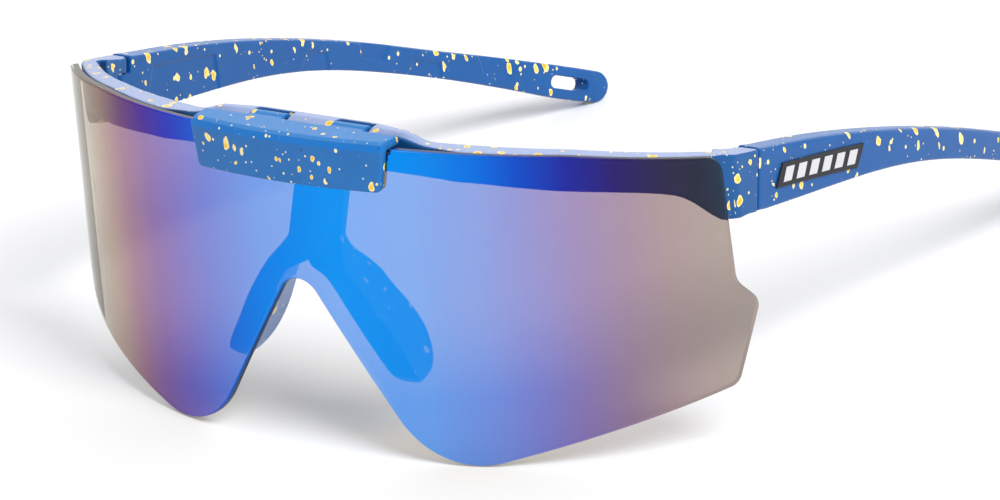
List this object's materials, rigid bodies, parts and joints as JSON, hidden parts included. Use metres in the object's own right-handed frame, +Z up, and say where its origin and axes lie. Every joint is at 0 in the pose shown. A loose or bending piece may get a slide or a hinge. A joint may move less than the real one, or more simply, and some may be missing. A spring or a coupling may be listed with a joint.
{
  "type": "wraparound sport sunglasses",
  "caption": "Wraparound sport sunglasses with a one-piece mirrored shield lens that flips up on a brow frame, a wishbone nose bridge and folding temples.",
  "frame": {"origin": "middle of the bounding box in X and Y, on the table plane under the lens lobes and the temple tips", "axes": "+Z up as the glasses rest on a table with the temples open, the lens faces -Y, the temples run towards +Y, X = 0 is the plane of symmetry, +X is the wearer's left"},
  "size_m": [0.1458, 0.1666, 0.0577],
  "materials": {
    "frame_blue": "satin injection-moulded plastic, blue with printed gold and pale speckles",
    "nose_blue": "satin injection-moulded plastic, blue with pale speckles",
    "clip_blue": "satin injection-moulded plastic, blue with printed gold and pale speckles",
    "plate_blue": "satin injection-moulded plastic, blue",
    "temple_blue": "satin injection-moulded plastic, blue with printed gold and pale speckles",
    "lens_mirror": "clear polycarbonate with a blue to violet to bronze mirror coating",
    "steel": "plain stainless steel",
    "badge": "black plate with raised silver bars"
  },
  "bodies": {
    "frame": {"front_frame": "frame_blue", "nose_bridge": "nose_blue", "flip_pin_left": "steel", "flip_pin_right": "steel", "detent_leaf_left": "steel", "detent_leaf_right": "steel", "hinge_screw_left": "steel", "hinge_screw_right": "steel"},
    "lens_unit": {"shield_lens": "lens_mirror", "flip_clip": "clip_blue", "lens_backing_plate": "plate_blue", "lens_screw_left": "steel", "lens_screw_right": "steel"},
    "temple_left_arm": {"temple_left": "temple_blue", "badge_left": "badge"},
    "temple_right_arm": {"temple_right": "temple_blue", "badge_right": "badge"}
  },
  "joints": [
    {"name": "lens_flip", "type": "hinge", "parent": "frame", "child": "lens_unit", "pos_m": [0, -0.07385, 0.0559], "axis": [-1, 0, 0], "range_deg": [0, 88]},
    {"name": "temple_left_fold", "type": "hinge", "parent": "frame", "child": "temple_left_arm", "pos_m": [0.067, -0.0445, 0.04469], "axis": [0, 0.1866, 0.9824], "range_deg": [0, 77]},
    {"name": "temple_right_fold", "type": "hinge", "parent": "frame", "child": "temple_right_arm", "pos_m": [-0.067, -0.0445, 0.04469], "axis": [0, -0.1866, -0.9824], "range_deg": [0, 85]}
  ]
}
